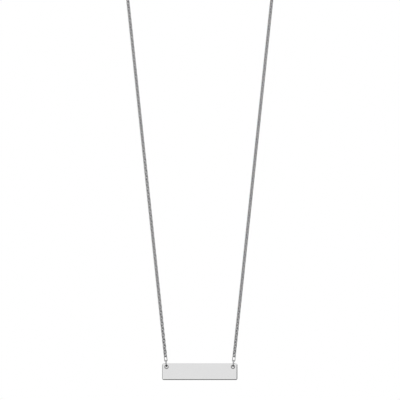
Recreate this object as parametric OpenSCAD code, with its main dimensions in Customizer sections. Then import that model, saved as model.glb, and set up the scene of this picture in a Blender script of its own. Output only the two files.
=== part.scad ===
// Bar pendant necklace: a blank engraving bar, drilled near its two upper corners,
// hangs by two jump rings from a fine chain that closes with a ring clasp.
// Millimetres. +Z is up and the bar faces -Y. The origin is the underside of the
// clasp at the top of the loop, where the necklace rests on a neck.

/* [Bar] */
// Length of the bar, from end to end
bar_l = 25.4; // [16:0.1:45]
// Height of the bar
bar_h = 5.65; // [4:0.05:10]
// Thickness of the bar, from front to back
bar_t = 1.0; // [0.8:0.05:1.2]
// Radius of the four corners, seen from the front
corner_r = 0.5; // [0.45:0.05:1]
// Radius that polishing leaves along every edge
edge_r = 0.4; // [0.1:0.05:0.4]

/* [Holes in the bar] */
// Diameter of the two holes
hole_d = 1.0; // [0.95:0.05:1.5]
// Distance from the bar's end to the hole's centre
hole_inset = 1.5; // [1.4:0.05:3]
// Distance from the bar's top edge down to the hole's centre
hole_drop = 1.2; // [1.2:0.05:1.6]
// Width of the chamfer round each mouth of a hole
hole_chamfer = 0.25; // [0.2:0.05:0.3]

/* [Jump rings] */
// Wire diameter of the jump rings
ring_wire = 0.46; // [0.3:0.02:0.46]
// Inner diameter of the jump rings
ring_id = 1.65; // [1.6:0.05:2.4]
// Space left between two pieces of metal that hang in each other
hang_gap = 0.06; // [0.05:0.01:0.1]

/* [End links] */
// Wire diameter of the last link on each side of the bar
end_wire = 0.26; // [0.2:0.02:0.3]
// Outer width of that link
end_w = 1.1; // [1.05:0.05:1.8]
// Outer length of that link
end_l = 2.3; // [2:0.1:4]

/* [Chain] */
// Length of the closed loop, measured through the bar, the chain and the clasp
necklace_l = 457; // [380:1:620]
// Lean of each strand from the vertical
strand_lean = 6.03; // [3:0.01:12]
// Width of the chain across its links
chain_w = 1.4; // [1:0.05:2.5]

/* [Clasp] */
// Outer diameter of the clasp's ring
clasp_od = 5; // [4.5:0.1:8]
// Thickness of the clasp's ring
clasp_wire = 1.0; // [0.8:0.05:1.2]
// Inner diameter of the clasp's eye
eye_id = 0.9; // [0.85:0.05:1.6]
// Wire diameter of the clasp's eye
eye_wire = 0.5; // [0.4:0.05:0.6]
// Length of the neck between the clasp's ring and the hole of its eye
eye_neck = 0.15; // [0.1:0.05:0.3]
// Diameter of the clasp's thumb tab
tab_d = 0.8; // [0.5:0.05:0.8]
// Length of the thumb tab outside the clasp's ring
tab_l = 0.7; // [0.4:0.05:1.2]
// Turn of the thumb tab round the clasp, from its eye
tab_turn = 125; // [110:1:140]

/* [Hidden] */

LEFT = -1;
RIGHT = 1;
SMOOTH = 96;      // facets of a round surface that stays exact
HULL_SMOOTH = 32; // facets of the round shapes inside the bar's hull
TUBE_SIDES = 8;   // sides of the tube that stands for a strand of chain
TUBE_STEP = 6;    // longest stretch of that tube between two rings of points
EDGE_FLAT = 0.1;  // narrowest flat band that polishing leaves round the bar

// The jump ring, measured to the middle of its wire
ring_r = (ring_id + ring_wire) / 2;

// A jump ring stands edge-on and meets each face of the bar half the bar's thickness
// from its own middle, where its wire leans by wire_lean and has that much play left
wire_lean = asin(bar_t / 2 / ring_r);
play = hole_d / 2 - ring_wire / 2 / cos(wire_lean) - hang_gap;
// Distance from the hole's centre to the ring's centre, along the strand's line,
// when the bar hangs on the ring
ring_rise = play + sqrt(pow(ring_r, 2) - pow(bar_t / 2, 2));

// The loop: two straight strands that lean outwards from the hole centres, closed by
// one round arch. A pulled chain draws its jump ring into line, so the hole, the ring
// and the links of a side all sit on the same straight line.
// Its length is the hole spacing, two strands and an arc of 180 + 2 * strand_lean.
hole_spacing = bar_l - 2 * hole_inset;
arch_turn = PI * (1 + strand_lean / 90);
arch_r = (necklace_l - hole_spacing + hole_spacing / sin(strand_lean))
    / (2 / tan(strand_lean) + arch_turn);
strand_l = (arch_r * cos(strand_lean) - hole_spacing / 2) / sin(strand_lean);
arch_z = clasp_wire / 2 - arch_r;
hole_z = arch_z - arch_r * sin(strand_lean) - strand_l * cos(strand_lean);
bar_z = hole_z + hole_drop - bar_h / 2;

// Stations along a strand, measured up from the hole's centre
end_link_at = ring_rise + ring_r - ring_wire / 2 - hang_gap - end_wire + end_l / 2;
chain_from = end_link_at + end_l / 2 + hang_gap;

// The clasp, measured to the middle of its wires. Both of its far walls lie
// clasp_half from the middle of the loop.
clasp_r = (clasp_od - clasp_wire) / 2;
eye_r = (eye_id + eye_wire) / 2;
eye_at = clasp_od / 2 + eye_neck + eye_id / 2;
clasp_half = (clasp_r + eye_at + eye_r) / 2;
clasp_x = clasp_r - clasp_half;

// Arc length from the top of the loop to the centre of the ring on a clasp wall,
// and to the chain's last point, for a wall of that thickness
function clasp_ring_at(wall) = clasp_half - wall / 2 - hang_gap - ring_wire / 2 + ring_r;
function chain_stop(wall) = clasp_ring_at(wall) + ring_r + ring_wire / 2 + hang_gap;

// Arc length from the foot of a strand to the top of the loop
half_loop = strand_l + arch_r * arch_turn / 2;
// Lean of the loop's line from the vertical, at that distance from the foot
function lean_at(s) =
    s < strand_l ? strand_lean : strand_lean - (s - strand_l) / arch_r * 180 / PI;
// Point of the loop's line on the right-hand side, at that distance from the foot
function loop_at(s) =
    s < strand_l
        ? [hole_spacing / 2 + s * sin(strand_lean), 0, hole_z + s * cos(strand_lean)]
        : [arch_r * cos(lean_at(s)), 0, arch_z - arch_r * sin(lean_at(s))];

// A closed oval of round wire in the XZ plane, its length along Z. With no
// straight sides it is a plain ring.
module oval_link(length, width, wire) {
    bend_r = (width - wire) / 2;
    side_l = length - width;
    for (up = [1, -1])
        translate([0, 0, up * side_l / 2])
            rotate([90, up < 0 ? 180 : 0, 0])
                rotate_extrude(angle = 180, $fn = SMOOTH)
                    translate([bend_r, 0])
                        circle(d = wire, $fn = SMOOTH);
    for (side = [LEFT, RIGHT])
        translate([side * bend_r, 0, -side_l / 2])
            cylinder(h = side_l, d = wire, $fn = SMOOTH);
}

// A closed ring of round wire in the XY plane
module round_ring(inner, wire) {
    rotate_extrude($fn = SMOOTH)
        translate([(inner + wire) / 2, 0])
            circle(d = wire, $fn = SMOOTH);
}

// Children are moved onto the loop's line, s along it from the foot of a strand,
// with their Z axis along the line
module on_loop(side, s) {
    p = loop_at(s);
    translate([side * p[0], p[1], p[2]])
        rotate([0, side * lean_at(s), 0])
            children();
}

// The blank bar: a plate with round corners and polished edges, and two holes
module bar() {
    edge = min(edge_r, (bar_t - EDGE_FLAT) / 2);
    color("gainsboro")
        difference() {
            hull()
                for (x = [LEFT, RIGHT], z = [-1, 1], y = [-1, 1])
                    translate([
                        x * (bar_l / 2 - corner_r),
                        y * (bar_t / 2 - edge),
                        bar_z + z * (bar_h / 2 - corner_r)
                    ])
                        rotate([90, 0, 0])
                            rounded_disc(corner_r, edge);
            for (side = [LEFT, RIGHT])
                translate([side * hole_spacing / 2, 0, hole_z])
                    rotate([90, 0, 0])
                        hole();
        }
}

// A disc about Z whose rim is a half round of that edge radius
module rounded_disc(radius, edge) {
    rotate_extrude($fn = HULL_SMOOTH)
        intersection() {
            translate([radius - edge, 0])
                circle(r = edge, $fn = HULL_SMOOTH);
            translate([0, -edge])
                square([radius, edge * 2]);
        }
}

// What is drilled out of the bar, along Z: the hole and its two chamfered mouths
module hole() {
    cylinder(h = bar_t * 2, d = hole_d, center = true, $fn = SMOOTH);
    for (face = [0, 180])
        rotate([face, 0, 0])
            translate([0, 0, bar_t / 2 - hole_chamfer])
                cylinder(
                    h = hole_chamfer * 2,
                    d1 = hole_d,
                    d2 = hole_d + hole_chamfer * 4,
                    $fn = SMOOTH
                );
}

// A round jump ring through a hole of the bar, seen edge-on
module jump_ring(side) {
    color("darkgray")
        on_loop(side, ring_rise)
            rotate([0, 90, 0])
                round_ring(ring_id, ring_wire);
}

// The oval link between a jump ring and the chain, seen face-on
module end_link(side) {
    color("darkgray")
        on_loop(side, end_link_at)
            oval_link(end_l, end_w, end_wire);
}

// A strand of the fine chain, as a tube of the chain's width: a ring of points
// every TUBE_STEP along the loop's line, joined by quads, with a flat cap at each end
module chain(side, wall) {
    chain_to = half_loop - chain_stop(wall);
    steps = ceil((chain_to - chain_from) / TUBE_STEP);
    points = [
        for (i = [0:steps])
            let (
                s = chain_from + (chain_to - chain_from) * i / steps,
                p = loop_at(s),
                lean = lean_at(s)
            )
            for (k = [0:TUBE_SIDES - 1])
                let (
                    turn = 360 * (k + 0.5) / TUBE_SIDES,
                    out = chain_w / 2 * cos(turn),
                    back = chain_w / 2 * sin(turn)
                )
                [side * (p[0] + out * cos(lean)), back, p[2] - out * sin(lean)]
    ];
    wall_faces = [
        for (i = [0:steps - 1], k = [0:TUBE_SIDES - 1])
            let (
                a = i * TUBE_SIDES + k,
                b = i * TUBE_SIDES + (k + 1) % TUBE_SIDES
            )
            [a, a + TUBE_SIDES, b + TUBE_SIDES, b]
    ];
    foot_cap = [for (k = [0:TUBE_SIDES - 1]) k];
    top_cap = [for (k = [TUBE_SIDES - 1:-1:0]) steps * TUBE_SIDES + k];
    faces = concat([foot_cap, top_cap], wall_faces);
    // The left strand is the right one's mirror image, so its faces run backwards
    turned = [for (f = faces) [for (j = [len(f) - 1:-1:0]) f[j]]];
    color("darkgray")
        polyhedron(points = points, faces = side == RIGHT ? faces : turned);
}

// The clasp, in one plain piece: a ring that lies flat on the neck, its eye on the
// right, and a thumb tab
module clasp() {
    color("silver")
        translate([clasp_x, 0, clasp_wire / 2]) {
            round_ring(clasp_od - 2 * clasp_wire, clasp_wire);
            translate([eye_at, 0, 0])
                round_ring(eye_id, eye_wire);
            rotate([0, 0, tab_turn])
                translate([clasp_r, 0, 0])
                    rotate([0, 90, 0])
                        cylinder(h = clasp_wire / 2 + tab_l, d = tab_d, $fn = SMOOTH);
        }
}

// An upright ring that joins the chain to a wall of the clasp
module clasp_ring(side, wall) {
    color("darkgray")
        on_loop(side, half_loop - clasp_ring_at(wall))
            rotate([90, 0, 0])
                round_ring(ring_id, ring_wire);
}

bar();
jump_ring(LEFT);  // jump_ring_left
jump_ring(RIGHT);  // jump_ring_right
end_link(LEFT);  // end_link_left
end_link(RIGHT);  // end_link_right
chain(LEFT, clasp_wire);  // chain_left
chain(RIGHT, eye_wire);  // chain_right
clasp();
clasp_ring(LEFT, clasp_wire);  // clasp_ring_left
clasp_ring(RIGHT, eye_wire);  // clasp_ring_right
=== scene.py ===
# %% [markdown]
# # A bar pendant on its chain
# This lesson dresses a small necklace: a blank, mirror-polished silver bar that hangs
# by two jump rings from a fine chain. The frame holds the true sizes and the places of
# all the pieces, so it is loaded first, and every new surface is worked out from it.

import bpy
import numpy as np
from mathutils.geometry import tessellate_polygon
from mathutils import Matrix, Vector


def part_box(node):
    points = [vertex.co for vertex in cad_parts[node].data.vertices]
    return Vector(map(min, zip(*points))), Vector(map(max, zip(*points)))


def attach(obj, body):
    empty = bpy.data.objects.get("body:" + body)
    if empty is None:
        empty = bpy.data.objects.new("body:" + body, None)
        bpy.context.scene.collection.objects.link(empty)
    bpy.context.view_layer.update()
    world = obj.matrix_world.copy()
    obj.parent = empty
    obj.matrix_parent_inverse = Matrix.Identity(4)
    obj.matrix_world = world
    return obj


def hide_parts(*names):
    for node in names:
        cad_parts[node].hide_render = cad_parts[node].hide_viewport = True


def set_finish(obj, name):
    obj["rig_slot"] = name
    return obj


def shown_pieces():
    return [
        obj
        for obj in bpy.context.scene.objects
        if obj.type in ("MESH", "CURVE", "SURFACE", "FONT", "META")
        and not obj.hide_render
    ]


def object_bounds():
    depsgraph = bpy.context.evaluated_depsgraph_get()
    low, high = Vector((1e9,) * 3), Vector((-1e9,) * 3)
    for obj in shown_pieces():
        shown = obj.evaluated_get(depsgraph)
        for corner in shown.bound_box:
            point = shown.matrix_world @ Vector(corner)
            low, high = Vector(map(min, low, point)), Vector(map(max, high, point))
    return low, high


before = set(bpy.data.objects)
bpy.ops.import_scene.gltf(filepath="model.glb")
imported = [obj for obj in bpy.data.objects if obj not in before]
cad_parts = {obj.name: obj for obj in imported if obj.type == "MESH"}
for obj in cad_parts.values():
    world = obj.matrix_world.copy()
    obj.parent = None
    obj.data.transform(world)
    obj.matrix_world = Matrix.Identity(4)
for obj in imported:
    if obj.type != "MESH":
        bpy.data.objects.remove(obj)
CAD_LOW, CAD_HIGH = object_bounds()
MM = 0.001
NECKLACE_BODY = "necklace"
BAR_BODY = "bar"
SIDES = {"left": -1, "right": 1}
print("frame size in mm:", [round(v / MM, 2) for v in CAD_HIGH - CAD_LOW])

# %% [markdown]
# ## The camera
# The photograph is a straight-on product shot that crops the chain. A long lens keeps
# the bar's edges parallel. The camera could be aimed by eye, but three measures of the
# photograph place it exactly: the bar's length in pixels gives the distance, the pixel
# row of its top edge gives the height, and the column of its middle the place sideways.

# %% Place the camera
PHOTO_PIXELS = 400
BAR_PIXELS = 75.4
BAR_TOP_PIXEL = 363.35
BAR_CENTRE_PIXEL = 199.75
LENS = 150.0
SENSOR = 36.0
NEAR_CLIP = 10 * MM


def make_camera():
    """Camera in front of the bar, level, at the distance where the bar has its pixels."""
    low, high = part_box("bar")
    pixel = (high.x - low.x) / BAR_PIXELS
    distance = LENS / SENSOR * PHOTO_PIXELS * pixel
    data = bpy.data.cameras.new("camera")
    data.lens = LENS
    data.sensor_width = SENSOR
    data.clip_start = NEAR_CLIP
    camera = bpy.data.objects.new("camera", data)
    camera.rotation_euler = (np.pi / 2, 0.0, 0.0)
    camera.location = (
        (PHOTO_PIXELS / 2 - BAR_CENTRE_PIXEL) * pixel,
        low.y - distance,
        high.z + (BAR_TOP_PIXEL - PHOTO_PIXELS / 2) * pixel,
    )
    bpy.context.scene.collection.objects.link(camera)
    bpy.context.scene.camera = camera
    print("pixel size in mm:", round(pixel / MM, 4), "camera distance:", round(distance, 3))


make_camera()

# %% [markdown]
# ## The loop's sizes
# A pulled chain draws its rings into line, so from each hole of the bar one straight
# line leans outwards by six degrees, and every ring and link of that side sits on it. A
# round arch closes the loop over the back of the neck. The loop's length is the way
# through the bar, two strands and the arch, and each strand ends where it touches the
# arch. That leaves one equation for the arch's radius, so nothing has to be tried out.

# %% Work out the loop
LOOP_LENGTH = 457 * MM
STRAND_LEAN = np.radians(6.03)
HOLE_INSET = 1.5 * MM
HOLE_DROP = 1.2 * MM

bar_low, bar_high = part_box("bar")
FOOT_X = (bar_high.x - bar_low.x) / 2 - HOLE_INSET
FOOT_Z = bar_high.z - HOLE_DROP
ARCH_TURN = np.pi + 2 * STRAND_LEAN
rest_of_loop = LOOP_LENGTH - 2 * FOOT_X
ARCH_R = (rest_of_loop + 2 * FOOT_X / np.sin(STRAND_LEAN)) / (2 / np.tan(STRAND_LEAN) + ARCH_TURN)
STRAND_L = (ARCH_R * np.cos(STRAND_LEAN) - FOOT_X) / np.sin(STRAND_LEAN)
ARCH_Z = FOOT_Z + STRAND_L * np.cos(STRAND_LEAN) + ARCH_R * np.sin(STRAND_LEAN)
print("arch radius in mm:", round(ARCH_R / MM, 3), "strand length:", round(STRAND_L / MM, 2))

# %% [markdown]
# ## Places along the loop
# The loop could be drawn by hand as a curve. Here it is a formula of the distance along
# it, because the links have to be strung at an even pitch, and a formula gives their
# places without any measuring.

# %% The line as a function of length
def loop_line(s, side):
    """Points, directions and outward normals of the line at distances s from a foot.

    On the strand the point moves straight along the lean. On the arch it turns about
    the arch's centre by the length divided by the radius. The left side mirrors x.
    """
    s = np.asarray(s, float)
    lean = np.where(s < STRAND_L, STRAND_LEAN, STRAND_LEAN - (s - STRAND_L) / ARCH_R)
    x = np.where(s < STRAND_L, FOOT_X + s * np.sin(lean), ARCH_R * np.cos(lean))
    z = np.where(s < STRAND_L, FOOT_Z + s * np.cos(lean), ARCH_Z - ARCH_R * np.sin(lean))
    zero = np.zeros_like(s)
    point = np.stack([side * x, zero, z], -1)
    along = np.stack([side * np.sin(lean), zero, np.cos(lean)], -1)
    across = np.stack([np.cos(lean), zero, -side * np.sin(lean)], -1)
    return point, along, across


def place_of(node):
    """Distance along the line of a node, from the middle of its box.

    On the strand it is the straight distance from the foot. On the arch it is the
    strand's length plus the turn about the arch's centre times the radius.
    """
    low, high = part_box(node)
    x, z = abs(low.x + high.x) / 2, (low.z + high.z) / 2
    if z < ARCH_Z - ARCH_R * np.sin(STRAND_LEAN):
        return np.hypot(x - FOOT_X, z - FOOT_Z)
    return STRAND_L + (STRAND_LEAN - np.arctan2(ARCH_Z - z, x)) * ARCH_R


print("a jump ring's place in mm:", round(place_of("jump_ring_right") / MM, 3))

# %% [markdown]
# ## From arrays to meshes
# Every piece of this necklace is a flat plate or a bent wire, so its surface is a grid
# of points that closes on itself. One helper numbers the grid's faces, and another makes
# the mesh in one go. The alternative, adding rings with operators and moving them about,
# is slower and leaves placed objects, while here each object stays at the origin.

# %% Grid helpers
def grid_faces(rows, columns, start=0):
    """Quads of a grid that closes in both directions, numbered from start."""
    i, j = np.meshgrid(np.arange(rows), np.arange(columns), indexing="ij")
    corner = i * columns + j
    right = i * columns + (j + 1) % columns
    up = (i + 1) % rows * columns + j
    far = (i + 1) % rows * columns + (j + 1) % columns
    return np.stack([corner, right, far, up], -1).reshape(-1, 4) + start


def strip_faces(rows, columns, start):
    """Quads of a grid that closes along its columns only."""
    return grid_faces(rows, columns, start)[: (rows - 1) * columns]


def make_mesh(name, points, faces, normals=None):
    """A smooth mesh object at the origin from arrays of points and faces."""
    mesh = bpy.data.meshes.new(name)
    mesh.from_pydata(points.reshape(-1, 3), [], [list(map(int, f)) for f in faces])
    mesh.shade_smooth()
    if normals is not None:
        mesh.normals_split_custom_set_from_vertices(normals.reshape(-1, 3))
    made = bpy.data.objects.new(name, mesh)
    bpy.context.scene.collection.objects.link(made)
    print(name, "faces:", len(mesh.polygons))
    return made


print("quads of a closed grid of 3 by 4 points:", len(grid_faces(3, 4)))

# %% [markdown]
# ## The bar's edges
# The real bar is a blanked plate whose edges a polishing wheel has rounded. A cube with
# a bevel would come near, but its holes would need a boolean and the mirror face would
# shade unevenly. Instead the rim is a grid, the outline carried round the edge from the
# front to the back, and each hole is another. Every point knows its exact normal, which
# keeps the mirror flat right up to the edge.

# %% Rims of the plate and its holes
EDGE_R = 0.4 * MM
CORNER_R = 0.5 * MM
HOLE_R = 0.4 * MM
MOUTH_R = 0.35 * MM
CORNER_STEPS = 10
EDGE_STEPS = 8
HOLE_STEPS = 48


def rounded_outline(half_l, half_h, radius, steps):
    """Centres and directions of a rounded rectangle: four corners, a fan at each."""
    corner = np.array([[1, 1], [-1, 1], [-1, -1], [1, -1]])
    centre = corner * (half_l - radius, half_h - radius)
    fan = np.linspace(0, np.pi / 2, steps + 1)
    angle = (np.arange(4)[:, None] * np.pi / 2 + fan).ravel()
    out = np.stack([np.cos(angle), np.sin(angle)], -1)
    return np.repeat(centre, steps + 1, 0), out


def rim_grid(centre, out, reach, sign, radius, half_t):
    """Rim of a plate of half thickness half_t, as points and normals.

    At each step the edge's direction turns from the front face to the side and on to
    the back. The point is the centre plus reach plus radius times that direction. With
    sign -1 the rim is that of a hole, and its directions point inwards.
    """
    quarter = np.linspace(0, np.pi / 2, EDGE_STEPS + 1)
    flat = np.concatenate([np.sin(quarter), np.sin(quarter[::-1])])
    deep = np.concatenate([-np.cos(quarter), np.cos(quarter[::-1])])
    middle = np.repeat([-1.0, 1.0], EDGE_STEPS + 1) * (half_t - radius)
    side = sign * (flat[:, None, None] * out)
    edge = centre + reach * out + radius * side
    depth = np.broadcast_to((middle + radius * deep)[:, None], edge.shape[:2])
    points = np.stack([edge[..., 0], depth, edge[..., 1]], -1)
    tilt = np.broadcast_to(deep[:, None], edge.shape[:2])
    normals = np.stack([side[..., 0], tilt, side[..., 1]], -1)
    return points, normals


def hole_grid(hole, half_t):
    """Rim of a hole at a place on the plate: a full turn of directions about it."""
    angle = 2 * np.pi * np.arange(HOLE_STEPS) / HOLE_STEPS
    spoke = np.stack([np.cos(angle), np.sin(angle)], -1)
    centre = np.broadcast_to(hole, spoke.shape)
    return rim_grid(centre, spoke, HOLE_R + MOUTH_R, -1, MOUTH_R, half_t)


print("points round the bar's outline:", 4 * (CORNER_STEPS + 1))

# %% [markdown]
# ## The bar
# Two flat faces close the plate between its rim and the mouths of the holes. A fan of
# triangles would run across the holes, so Blender's tessellation of a polygon with holes
# fills them. The walls of the holes are marked point by point, because they are rougher
# than the faces and their colour carries painted shade.

# %% Make the bar
def flat_face(points, loops, facing):
    """Triangles between an outline and its holes.

    facing is -1 for a face that looks along -y, the front, and 1 for the back.
    """
    order = np.concatenate(loops)
    corner = np.array(tessellate_polygon([points[loop].tolist() for loop in loops]))
    place = points[order[corner]]
    upward = np.cross(place[:, 1] - place[:, 0], place[:, 2] - place[:, 0])[:, 1]
    wrong = upward * facing < 0
    corner[wrong] = corner[wrong][:, ::-1]
    return order[corner]


def make_bar():
    """The plate with its two drilled holes, as one closed mesh.

    The mark "drilled" is one on the walls of the holes and zero where they meet a face. It
    later sets their roughness and their painted shade.
    """
    low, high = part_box("bar")
    half = np.array(high - low) / 2
    middle = np.array(high + low) / 2
    centre, out = rounded_outline(half[0], half[2], CORNER_R, CORNER_STEPS)
    rims = [rim_grid(centre, out, CORNER_R - EDGE_R, 1, EDGE_R, half[1])]
    for side in SIDES.values():
        hole = np.array([side * FOOT_X - middle[0], half[2] - HOLE_DROP])
        rims.append(hole_grid(hole, half[1]))
    points, normals, marks, faces, start = [], [], [], [], 0
    front_loops, back_loops = [], []
    for number, (rim, normal) in enumerate(rims):
        is_hole = number > 0
        rows, columns = rim.shape[:2]
        quads = strip_faces(rows, columns, start)
        faces.extend(quads if is_hole else quads[:, ::-1])
        front_loops.append(start + np.arange(columns))
        back_loops.append(start + (rows - 1) * columns + np.arange(columns))
        points.append(rim.reshape(-1, 3))
        normals.append(normal.reshape(-1, 3))
        mark = np.full((rows, columns), float(is_hole))
        mark[[0, -1]] = 0.0
        marks.append(mark.ravel())
        start += rows * columns
    points = np.concatenate(points) + middle
    faces.extend(flat_face(points, front_loops, -1))
    faces.extend(flat_face(points, back_loops, 1))
    made = make_mesh("polished_bar", points, faces, np.concatenate(normals))
    drilled = made.data.attributes.new("drilled", "FLOAT", "POINT")
    drilled.data.foreach_set("value", np.concatenate(marks).astype(np.float32))
    return made


bar = make_bar()
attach(bar, BAR_BODY)
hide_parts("bar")
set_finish(bar, "bar_polish")

# %% [markdown]
# ## Bent wire
# The rings, the links and the clasp's tube are all round wire, bent along a flat closed
# path. A curve with a round bevel would do for one ring. As an array, one helper bends a
# single ring or hundreds of links at once, and it can thin the wire along its way, as a
# file does when it cleans the solder off a joint.

# %% Wire helpers
JOINT_WIDTH = 0.015
JOINT_DEPTH = 0.05


def bent_wire(path, normal, wire, sides, thickness=None):
    """Grids of round wire along closed flat paths.

    path holds points (..., steps, 3) and normal the unit normal (..., 3) of each
    path's plane. A wire's circle is the in-plane outward direction times cosine plus
    the plane's normal times sine, times the wire's radius and its share at that step.
    """
    ahead = np.roll(path, -1, -2) - np.roll(path, 1, -2)
    ahead /= np.linalg.norm(ahead, axis=-1, keepdims=True)
    flat = np.broadcast_to(normal[..., None, :], path.shape)
    outward = np.cross(ahead, flat)
    turn = 2 * np.pi * np.arange(sides) / sides
    share = np.ones(path.shape[-2]) if thickness is None else thickness
    radius = (wire / 2 * share)[:, None, None]
    ring = (
        outward[..., None, :] * np.cos(turn)[:, None]
        + flat[..., None, :] * np.sin(turn)[:, None]
    )
    return path[..., None, :] + radius * ring


def joint_pinch(steps, place):
    """Share of the wire's thickness at each step: one, less a bell-shaped dip.

    place is where the joint lies, as a share of the way round.
    """
    turn = (np.arange(steps) / steps - place + 0.5) % 1 - 0.5
    return 1 - JOINT_DEPTH * np.exp(-((turn / JOINT_WIDTH) ** 2))


print("thinnest share of a wire with a joint:", joint_pinch(100, 0.5).min())

# %% [markdown]
# ## Jump rings
# A jump ring is a turn of wire, closed and soldered, and here it stands edge-on in the
# bar's hole. Blender has a torus to start from, but it would have no joint.

# %% Make the rings
RING_WIRE = 0.46 * MM
RING_INNER = 1.65 * MM
RING_R = (RING_INNER + RING_WIRE) / 2
RING_STEPS = 64
RING_SIDES = 20
RING_JOINT = 0.35
EDGE_ON = np.pi / 2
FRONT = np.array([0.0, -1.0, 0.0])


def wire_ring(node, side, turn):
    """A closed ring of round wire on the loop's line, in the place of a node.

    Its middle line is a circle: the centre plus the radius times cosine along the line
    and sine crosswise. turn swings the crosswise direction from the side to the front.
    """
    point, along, across = loop_line(place_of(node), side)
    crosswise = np.cos(turn) * across + np.sin(turn) * FRONT
    angle = 2 * np.pi * np.arange(RING_STEPS)[:, None] / RING_STEPS
    path = point + RING_R * (np.cos(angle) * along + np.sin(angle) * crosswise)
    normal = np.cross(along, crosswise)
    pinch = joint_pinch(RING_STEPS, RING_JOINT)
    points = bent_wire(path, normal, RING_WIRE, RING_SIDES, pinch)
    ring = make_mesh("wire_" + node, points, grid_faces(RING_STEPS, RING_SIDES))
    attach(ring, NECKLACE_BODY)
    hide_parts(node)
    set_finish(ring, "ring_polish")


for word, side in SIDES.items():
    wire_ring("jump_ring_" + word, side, EDGE_ON)

# %% [markdown]
# ## An oval by its length
# Links are ovals of wire with round ends and straight sides. A squeezed circle would
# have curved sides and pointed ends. So the oval is a formula of the length round it,
# which also spreads its points evenly.

# %% The oval as a formula
END_WIRE = 0.26 * MM
END_W = 1.1 * MM
END_L = 2.3 * MM
END_STEPS = 48


def oval_path(length, width, wire, steps):
    """Closed middle line of a link: x across, y along, with round ends.

    The distance along the outline runs evenly. A half circle of the bend's radius is
    followed by a straight side, twice.
    """
    bend = (width - wire) / 2
    side = length - width
    around = 2 * np.pi * bend + 2 * side
    t = (np.arange(steps) + 0.5) / steps * around
    arc = np.pi * bend
    x = np.empty(steps)
    y = np.empty(steps)
    top = t < arc
    down = (t >= arc) & (t < arc + side)
    foot = (t >= arc + side) & (t < 2 * arc + side)
    rise = t >= 2 * arc + side
    x[top] = bend * np.cos(t[top] / bend)
    y[top] = side / 2 + bend * np.sin(t[top] / bend)
    x[down] = -bend
    y[down] = side / 2 - (t[down] - arc)
    x[foot] = -bend * np.cos((t[foot] - arc - side) / bend)
    y[foot] = -side / 2 - bend * np.sin((t[foot] - arc - side) / bend)
    x[rise] = bend
    y[rise] = -side / 2 + (t[rise] - 2 * arc - side)
    return x, y


END_OVAL = oval_path(END_L, END_W, END_WIRE, END_STEPS)
print("middle line of an end link in mm:", [round(np.ptp(v) / MM, 2) for v in END_OVAL])

# %% [markdown]
# ## End links
# Between each jump ring and the fine chain sits one longer link, seen face-on with light
# showing through it. It could be modelled once and placed by hand on each side. Instead
# its own two directions come from the loop's line, so it hangs true on either strand.

# %% Make the end links
END_SIDES = 16
END_JOINT = 0.5


def oval_points(centre, along, across, oval, wire, sides, thickness=None):
    """Grids of the same oval link, strung at centres with their own two directions.

    The middle line is the centre plus x times across plus y times along.
    """
    x, y = oval
    path = centre[..., None, :] + x[:, None] * across[..., None, :]
    path = path + y[:, None] * along[..., None, :]
    return bent_wire(path, np.cross(across, along), wire, sides, thickness)


for word, side in SIDES.items():
    node = "end_link_" + word
    spot = loop_line(place_of(node), side)
    pinch = joint_pinch(END_STEPS, END_JOINT)
    points = oval_points(*spot, END_OVAL, END_WIRE, END_SIDES, pinch)
    link = make_mesh("wire_" + node, points, grid_faces(END_STEPS, END_SIDES))
    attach(link, NECKLACE_BODY)
    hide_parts(node)
    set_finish(link, "link_polish")

# %% [markdown]
# ## The fine chain
# Each strand is a cable chain of tiny oval links in wire so thick that it nearly fills
# them, which is why the chain looks like a solid cord from afar. Adjacent links hook
# through each other, so they are turned a quarter to one another, and the chain lies on
# the diagonal, one link turned to the left and the next to the right. A tube would lose
# that sparkle, and an array modifier can't turn every other copy, so all links are
# computed together as one array of grids.

# %% String the links
LINK_WIRE = 0.42 * MM
LINK_W = 1.4 * MM
PITCH = 0.955 * MM
HOOK_GAP = 0.02 * MM
LINK_L = PITCH + HOOK_GAP + 2 * LINK_WIRE
END_GAP = 0.06 * MM
LINK_TURNS = np.radians([49.0, -41.0])
LINK_STEPS = 14
LINK_SIDES = 6
LINK_OVAL = oval_path(LINK_L, LINK_W, LINK_WIRE, LINK_STEPS)


def hook_places(word):
    """Distances along the line of the first and last link's centres."""
    reach = LINK_L / 2 - LINK_WIRE - END_GAP
    first = place_of("end_link_" + word) + END_L / 2 - END_WIRE + reach
    last = place_of("clasp_ring_" + word) - RING_INNER / 2 - reach
    return first, last


for word, side in SIDES.items():
    first, last = hook_places(word)
    count = int(round((last - first) / PITCH)) + 1
    s = np.linspace(first, last, count)
    point, along, across = loop_line(s, side)
    turn = LINK_TURNS[np.arange(count) % 2][:, None]
    crosswise = np.cos(turn) * across + np.sin(turn) * FRONT
    points = oval_points(point, along, crosswise, LINK_OVAL, LINK_WIRE, LINK_SIDES)
    starts = np.arange(count)[:, None, None] * LINK_STEPS * LINK_SIDES
    faces = (grid_faces(LINK_STEPS, LINK_SIDES) + starts).reshape(-1, 4)
    strand = make_mesh("links_" + word, points, faces)
    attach(strand, NECKLACE_BODY)
    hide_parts("chain_" + word)
    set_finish(strand, "link_polish")
    print(word, "links:", count, "pitch in mm:", round((s[1] - s[0]) / MM, 4))

# %% [markdown]
# ## Clasp rings
# The two rings at the clasp are the same kind of jump ring as those at the bar, but
# they stand in the plane of the loop, so the same helper makes them with another turn.

# %% Make the clasp rings
FACE_ON = 0.0

for word, side in SIDES.items():
    wire_ring("clasp_ring_" + word, side, FACE_ON)

# %% [markdown]
# ## The clasp's tube and eye
# A ring clasp is a round tube with a gap, closed by a slimmer bolt that a spring pushes
# across it. A fixed eye holds the other end of the chain. A torus would show no bolt, so
# the tube is the shared bent wire, lying level and slimmer along the bolt, and the eye is
# a smaller ring of the same kind.

# %% Level rings and the bolt
BOLT_FROM, BOLT_TO = np.radians([62, 112])
BOLT_SHARE = 0.8
BOLT_STEP = np.radians(1.5)


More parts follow.
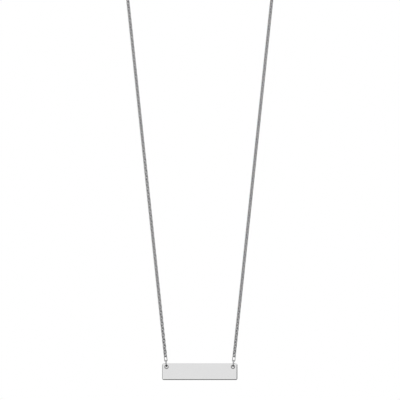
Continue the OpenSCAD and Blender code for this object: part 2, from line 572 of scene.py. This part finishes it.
def bolt_share(steps):
    """Share of the tube's thickness round the clasp: less along the bolt.

    Each end of the bolt is a step, a hyperbolic tangent of the angle from it.
    """
    turn = 2 * np.pi * np.arange(steps) / steps
    inside = np.tanh((turn - BOLT_FROM) / BOLT_STEP) - np.tanh((turn - BOLT_TO) / BOLT_STEP)
    return 1 - (1 - BOLT_SHARE) * inside / 2


def flat_ring(centre, radius, wire, steps, sides, thickness=None):
    """Grid of a wire ring that lies level: the centre plus cosine in x and sine in y."""
    turn = 2 * np.pi * np.arange(steps) / steps
    spoke = np.stack([np.cos(turn), np.sin(turn), np.zeros(steps)], -1)
    up = np.array([0.0, 0.0, 1.0])
    points = bent_wire(centre + radius * spoke, up, wire, sides, thickness)
    return points.reshape(-1, 3), grid_faces(steps, sides)


print("turn of the bolt in degrees:", round(np.degrees(BOLT_TO - BOLT_FROM), 1))

# %% [markdown]
# ## The clasp's thumb tab
# A short pin on the tube pulls the bolt back. A plain cylinder would end in a raw edge,
# so the tab is an outline turned round its own axis, with a rounded end that a thumb can
# bear.

# %% A turned pin
FILLET_STEPS = 7


def turned_pin(base, ahead, length, radius, fillet, sides):
    """A closed pin with a rounded end: its outline's radius turned round the axis.

    The outline is the straight side and then a quarter circle. A point in the middle
    closes each end.
    """
    quarter = np.linspace(0, np.pi / 2, FILLET_STEPS)
    far = np.concatenate([[0.0], length - fillet + fillet * np.sin(quarter)])
    wide = np.concatenate([[radius], radius - fillet + fillet * np.cos(quarter)])
    level = np.cross([0.0, 0.0, 1.0], ahead)
    upright = np.cross(ahead, level)
    turn = 2 * np.pi * np.arange(sides) / sides
    spoke = np.cos(turn)[:, None] * level + np.sin(turn)[:, None] * upright
    rows = base + far[:, None, None] * ahead + wide[:, None, None] * spoke
    count = rows.shape[0] * sides
    points = np.concatenate([rows.reshape(-1, 3), [base, base + length * ahead]])
    here = np.arange(sides)
    after = np.roll(here, -1)
    top = count - sides
    quads = strip_faces(rows.shape[0], sides, 0)
    foot_fan = np.stack([np.full(sides, count), after, here], -1)
    end_fan = np.stack([np.full(sides, count + 1), top + here, top + after], -1)
    return points, [*quads, *foot_fan, *end_fan]


print("rings of points along the tab:", FILLET_STEPS + 1)

# %% [markdown]
# ## The clasp
# The eye is soldered to the tube and the tab stands on the bolt. They could be three
# objects under a parent, as they would have to be if the bolt slid open. Nothing in this
# clasp moves, so its three closed surfaces are one mesh.

# %% Make the clasp
CLASP_OD = 5.0 * MM
CLASP_WIRE = 1.0 * MM
EYE_INNER = 0.9 * MM
EYE_WIRE = 0.5 * MM
TAB_R = 0.4 * MM
TAB_L = 0.7 * MM
TAB_ROUND = 0.25 * MM
TAB_TURN = np.radians(125)
TUBE_STEPS = 240
TUBE_SIDES = 28
EYE_STEPS = 72
TAB_SIDES = 32


def make_clasp():
    """Tube, eye and tab as three closed surfaces in one mesh."""
    low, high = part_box("clasp")
    middle_z = (low.z + high.z) / 2
    tube = np.array([low.x + CLASP_OD / 2, 0.0, middle_z])
    eye = np.array([high.x - EYE_WIRE - EYE_INNER / 2, 0.0, middle_z])
    tube_r = (CLASP_OD - CLASP_WIRE) / 2
    ahead = np.array([np.cos(TAB_TURN), np.sin(TAB_TURN), 0.0])
    tab_l = CLASP_WIRE / 2 + TAB_L
    parts = [
        flat_ring(tube, tube_r, CLASP_WIRE, TUBE_STEPS, TUBE_SIDES, bolt_share(TUBE_STEPS)),
        flat_ring(eye, (EYE_INNER + EYE_WIRE) / 2, EYE_WIRE, EYE_STEPS, RING_SIDES),
        turned_pin(tube + tube_r * ahead, ahead, tab_l, TAB_R, TAB_ROUND, TAB_SIDES),
    ]
    points, faces, start = [], [], 0
    for part, corners in parts:
        faces.extend(np.asarray(face) + start for face in corners)
        points.append(part)
        start += len(part)
    return make_mesh("ring_clasp", np.concatenate(points), faces)


clasp = make_clasp()
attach(clasp, NECKLACE_BODY)
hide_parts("clasp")
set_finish(clasp, "clasp_polish")

# %% [markdown]
# ## Silver
# Polished silver is almost all reflection. What makes it look real is what breaks that
# reflection: a faint haze from handling and hairlines from the polishing cloth. Both
# are wanted on every piece, at different strengths. Copying the nodes into each material
# would do, but as one node group they are built once and keep in step.

# %% The polish group's sockets
POLISH_INPUTS = [
    ("Vector", "NodeSocketVector", None),
    ("Haze Scale", "NodeSocketFloat", 300.0),
    ("Line Scale", "NodeSocketFloat", 4000.0),
    ("Bright", "NodeSocketColor", (0.9, 0.9, 0.9, 1.0)),
    ("Dull", "NodeSocketColor", (0.8, 0.8, 0.8, 1.0)),
    ("Smooth", "NodeSocketFloat", 0.05),
    ("Rough", "NodeSocketFloat", 0.15),
]
POLISH_OUTPUTS = [
    ("Color", "NodeSocketColor"),
    ("Roughness", "NodeSocketFloat"),
    ("Height", "NodeSocketFloat"),
]


def new_group(name, inputs, outputs):
    """A shader node group with its sockets, and its two end nodes."""
    group = bpy.data.node_groups.new(name, "ShaderNodeTree")
    for label, kind, value in inputs:
        socket = group.interface.new_socket(label, in_out="INPUT", socket_type=kind)
        if value is not None:
            socket.default_value = value
    for label, kind in outputs:
        group.interface.new_socket(label, in_out="OUTPUT", socket_type=kind)
    start = group.nodes.new("NodeGroupInput")
    end = group.nodes.new("NodeGroupOutput")
    return group, start, end


POLISH, polish_start, polish_end = new_group("polish", POLISH_INPUTS, POLISH_OUTPUTS)
print("polish inputs:", [label for label, _, _ in POLISH_INPUTS])

# %% [markdown]
# ## Haze and hairlines
# Haze is broad noise, and hairlines are fine noise stretched thin along the bar. Where
# both are strong the metal is duller. Two pictures of scratches could be painted for
# this, but noise has no seam and stays sharp from near by.

# %% Fill the polish group
HAZE_DETAIL = 4.0
LINE_DETAIL = 2.0
LINE_STRETCH = 0.06
DULL_FROM = 0.1
DULL_TO = 0.5


def noise(tree, vector, scale, detail):
    """Noise of a vector, at a scale that comes from a socket."""
    texture = tree.nodes.new("ShaderNodeTexNoise")
    texture.inputs["Detail"].default_value = detail
    tree.links.new(vector, texture.inputs["Vector"])
    tree.links.new(scale, texture.inputs["Scale"])
    return texture.outputs["Fac"]


def combine(tree, operation, first, second):
    """One value from two by a math node."""
    node = tree.nodes.new("ShaderNodeMath")
    node.operation = operation
    tree.links.new(first, node.inputs[0])
    tree.links.new(second, node.inputs[1])
    return node.outputs["Value"]


def fill_polish(tree, start, end):
    """Colour from the haze, roughness from haze times hairlines, height from hairlines."""
    haze = noise(tree, start.outputs["Vector"], start.outputs["Haze Scale"], HAZE_DETAIL)
    thin = tree.nodes.new("ShaderNodeMapping")
    thin.inputs["Scale"].default_value = (LINE_STRETCH, 1.0, 1.0)
    tree.links.new(start.outputs["Vector"], thin.inputs["Vector"])
    line = noise(tree, thin.outputs["Vector"], start.outputs["Line Scale"], LINE_DETAIL)
    shade = tree.nodes.new("ShaderNodeMix")
    shade.data_type = "RGBA"
    tree.links.new(haze, shade.inputs["Factor"])
    tree.links.new(start.outputs["Bright"], shade.inputs["A"])
    tree.links.new(start.outputs["Dull"], shade.inputs["B"])
    dull = tree.nodes.new("ShaderNodeMapRange")
    dull.inputs["From Min"].default_value = DULL_FROM
    dull.inputs["From Max"].default_value = DULL_TO
    tree.links.new(combine(tree, "MULTIPLY", haze, line), dull.inputs["Value"])
    tree.links.new(start.outputs["Smooth"], dull.inputs["To Min"])
    tree.links.new(start.outputs["Rough"], dull.inputs["To Max"])
    tree.links.new(shade.outputs["Result"], end.inputs["Color"])
    tree.links.new(dull.outputs["Result"], end.inputs["Roughness"])
    tree.links.new(line, end.inputs["Height"])


fill_polish(POLISH, polish_start, polish_end)
print("nodes in the polish group:", len(POLISH.nodes))

# %% [markdown]
# ## The four finishes
# The bar is polished to a mirror, the clasp nearly so, and the wire of rings and links
# only dully, because no wheel reaches into a chain. The rings and links are also much
# darker than the bar. That darkness is painted shade on the same silver, standing for the
# shade among the wires. The four materials could be built node by node, but they differ
# only in a few values. So a short table holds these, and one function turns each row into
# a material with its own shader.

# %% Make the silver materials
HAIRLINE_DEPTH = 0.001 * MM
SILVERS = {
    # name: bright colour, dull colour, least and most roughness, strength of the hairlines
    "bar_polish": ((0.87, 0.87, 0.87), (0.85, 0.85, 0.855), 0.04, 0.1, 0.1),
    # ring_polish and link_polish are the bar's silver made darker: painted shade among the wires
    "ring_polish": ((0.52, 0.52, 0.52), (0.47, 0.47, 0.48), 0.08, 0.2, 0.2),
    "link_polish": ((0.56, 0.56, 0.56), (0.49, 0.49, 0.5), 0.12, 0.25, 0.2),
    "clasp_polish": ((0.84, 0.84, 0.84), (0.78, 0.78, 0.79), 0.06, 0.16, 0.2),
}


def silver(name, bright, dull, smooth, rough, bump):
    """A silver material: the shared polish feeds a metallic Principled shader."""
    material = bpy.data.materials.new(name)
    material.use_nodes = True
    nodes, links = material.node_tree.nodes, material.node_tree.links
    shader = nodes["Principled BSDF"]
    shader.inputs["Metallic"].default_value = 1.0
    place = nodes.new("ShaderNodeTexCoord")
    polish = nodes.new("ShaderNodeGroup")
    polish.node_tree = POLISH
    links.new(place.outputs["Object"], polish.inputs["Vector"])
    polish.inputs["Bright"].default_value = (*bright, 1.0)
    polish.inputs["Dull"].default_value = (*dull, 1.0)
    polish.inputs["Smooth"].default_value = smooth
    polish.inputs["Rough"].default_value = rough
    relief = nodes.new("ShaderNodeBump")
    relief.inputs["Strength"].default_value = bump
    relief.inputs["Distance"].default_value = HAIRLINE_DEPTH
    links.new(polish.outputs["Color"], shader.inputs["Base Color"])
    links.new(polish.outputs["Roughness"], shader.inputs["Roughness"])
    links.new(polish.outputs["Height"], relief.inputs["Height"])
    links.new(relief.outputs["Normal"], shader.inputs["Normal"])
    return material


FINISHES = {name: silver(name, *row) for name, row in SILVERS.items()}
print("finishes:", sorted(FINISHES))

# %% [markdown]
# ## The drilled holes
# A polishing wheel doesn't reach into a hole, so the drilled wall and its mouth stay
# rough. Their dark grey colour is painted shade, standing for the shade inside the hole.
# A second material on those faces would end in a hard line, so the bar's own material
# fades to rough metal with painted shade by the mark that the bar's points carry.

# %% Leave the holes unpolished
# the dark grey of the drilled walls is painted shade inside the holes
RAW_AND_SHADED_COLOR = (0.42, 0.42, 0.42, 1.0)
RAW_ROUGHNESS = 0.5


def leave_raw_and_shaded(material, mark):
    """Blends the shader's roughness to raw metal and its colour to painted shade, by a mark."""
    nodes, links = material.node_tree.nodes, material.node_tree.links
    shader = nodes["Principled BSDF"]
    raw = nodes.new("ShaderNodeAttribute")
    raw.attribute_name = mark
    for socket, kind, value in (
        ("Base Color", "RGBA", RAW_AND_SHADED_COLOR),
        ("Roughness", "FLOAT", RAW_ROUGHNESS),
    ):
        polished = shader.inputs[socket].links[0].from_socket
        mix = nodes.new("ShaderNodeMix")
        mix.data_type = kind
        ends = [i for i in mix.inputs if i.enabled and i.name in ("A", "B")]
        links.new(raw.outputs["Fac"], mix.inputs["Factor"])
        links.new(polished, ends[0])
        ends[1].default_value = value
        result = next(o for o in mix.outputs if o.enabled)
        links.new(result, shader.inputs[socket])
    # the mark makes the walls rough and paints shade into their colour
    print(material.name, "fades to raw metal by the mark", mark)


leave_raw_and_shaded(FINISHES["bar_polish"], "drilled")

# %% [markdown]
# ## Which piece gets which finish
# The materials could be set where each piece is made. Every piece already knows the slot
# of its finish, though, so one loop dresses them all, and none can be forgotten.

# %% Dress the pieces
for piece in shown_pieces():
    finish = piece["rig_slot"]
    piece.data.materials.clear()
    piece.data.materials.append(FINISHES[finish])
    print(piece.name, "is dressed in", finish)

# %% [markdown]
# ## The studio's cards
# A mirror shows its surroundings, so the room is the real paint of this picture. White
# all round would make the bar a flat patch. In a product shot, dark cards below and at
# the sides draw the thin dark lines along the bar's edges, and they give the wires of
# the chain their dark sides. Real planes would show in some views, so the cards are
# shares of light in the world, worked out from the direction alone. They end at the
# horizon and leave the room bright where the flat faces look, so the bar is silver from
# behind and as it swings too.

# %% Light by direction
CARDS = {
    # name: direction of the middle, cosine where the card begins, cosine where it is full
    "low": ((0.0, 0.0, -1.0), 0.5, 0.7),
    "right": ((1.0, 0.0, 0.0), 0.64, 0.72),
    "left": ((-1.0, 0.2, 0.0), 0.86, 0.94),
}
CARD_SHADE = 0.02
CARD_TOP = 0.1


def fade(tree, value, start, full, ends):
    """Smooth step of a value between two of its levels, from one end to the other."""
    step = tree.nodes.new("ShaderNodeMapRange")
    step.interpolation_type = "SMOOTHSTEP"
    step.inputs["From Min"].default_value = start
    step.inputs["From Max"].default_value = full
    step.inputs["To Min"].default_value, step.inputs["To Max"].default_value = ends
    tree.links.new(value, step.inputs["Value"])
    return step.outputs["Result"]


def card_share(tree, direction, middle, start, full):
    """Share of the light that a card leaves in a direction.

    The cosine between the direction and the card's middle says how deep inside it is,
    and the share fades from one outside the card to the card's own shade inside.
    """
    depth = tree.nodes.new("ShaderNodeVectorMath")
    depth.operation = "DOT_PRODUCT"
    tree.links.new(direction, depth.inputs[0])
    depth.inputs[1].default_value = np.array(middle) / np.linalg.norm(middle)
    return fade(tree, depth.outputs["Value"], start, full, (1.0, CARD_SHADE))


def room_light(tree):
    """Share of the room's light by direction: the product of what the cards leave.

    The cards end at the horizon. Just above it they fade out, up to the height CARD_TOP
    of the direction, and from there on the share is one.
    """
    direction = tree.nodes.new("ShaderNodeTexCoord").outputs["Generated"]
    light, *others = [card_share(tree, direction, *card) for card in CARDS.values()]
    for share in others:
        light = combine(tree, "MULTIPLY", light, share)
    height = tree.nodes.new("ShaderNodeSeparateXYZ")
    tree.links.new(direction, height.inputs["Vector"])
    above = fade(tree, height.outputs["Z"], 0.0, CARD_TOP, (0.0, 1.0))
    return combine(tree, "MAXIMUM", light, above)


for name, (_, start, _) in CARDS.items():
    print(name, "card, degrees from its middle to its rim:", round(np.degrees(np.arccos(start))))

# %% [markdown]
# ## The studio's room
# Lamps would leave small hot spots in the mirror, while a photographer's tent is soft
# light from all round. So the room is the world's own light, and the backdrop that the
# camera sees stays plain white.

# %% Light the room
WHITE = (1.0, 1.0, 1.0, 1.0)
ROOM_WHITE = (0.86, 0.86, 0.86, 1.0)


def make_room():
    """World with a white backdrop for the camera and the room for all other rays."""
    world = bpy.data.worlds.new("studio")
    bpy.context.scene.world = world
    world.use_nodes = True
    nodes, links = world.node_tree.nodes, world.node_tree.links
    backdrop = nodes["Background"]
    backdrop.inputs["Color"].default_value = WHITE
    room = nodes.new("ShaderNodeBackground")
    room.inputs["Color"].default_value = ROOM_WHITE
    links.new(room_light(world.node_tree), room.inputs["Strength"])
    seen = nodes.new("ShaderNodeLightPath")
    choose = nodes.new("ShaderNodeMixShader")
    links.new(seen.outputs["Is Camera Ray"], choose.inputs["Fac"])
    links.new(room.outputs["Background"], choose.inputs[1])
    links.new(backdrop.outputs["Background"], choose.inputs[2])
    links.new(choose.outputs["Shader"], nodes["World Output"].inputs["Surface"])
    print("nodes in the room's light:", len(nodes))


make_room()
bpy.context.scene.view_settings.view_transform = "Standard"

# %% [markdown]
# ## The floor
# The necklace hangs, so the floor lies well below it and only closes the picture in views
# from above. A plain plane would show its corners, so it is a wide disc. It glows a
# little, as a lit paper sweep does, and the polished silver doesn't mirror it.

# %% Lay the floor
FLOOR_DROP = 0.5
FLOOR_R = 2.0
FLOOR_STEPS = 96
FLOOR_PAINT = (0.9, 0.9, 0.9, 1.0)
FLOOR_ROUGHNESS = 0.8
FLOOR_GLOW = 0.15


def make_floor():
    """A level disc: the radius times cosine in x and sine in y, below the frame."""
    turn = 2 * np.pi * np.arange(FLOOR_STEPS) / FLOOR_STEPS
    level = np.full(FLOOR_STEPS, CAD_LOW.z - FLOOR_DROP)
    points = np.stack([FLOOR_R * np.cos(turn), FLOOR_R * np.sin(turn), level], -1)
    floor = make_mesh("floor", points, [np.arange(FLOOR_STEPS)])
    paint = bpy.data.materials.new("floor_paint")
    paint.use_nodes = True
    shader = paint.node_tree.nodes["Principled BSDF"]
    shader.inputs["Base Color"].default_value = FLOOR_PAINT
    shader.inputs["Roughness"].default_value = FLOOR_ROUGHNESS
    shader.inputs["Emission Color"].default_value = WHITE
    shader.inputs["Emission Strength"].default_value = FLOOR_GLOW
    floor.data.materials.append(paint)
    floor.visible_glossy = False


make_floor()
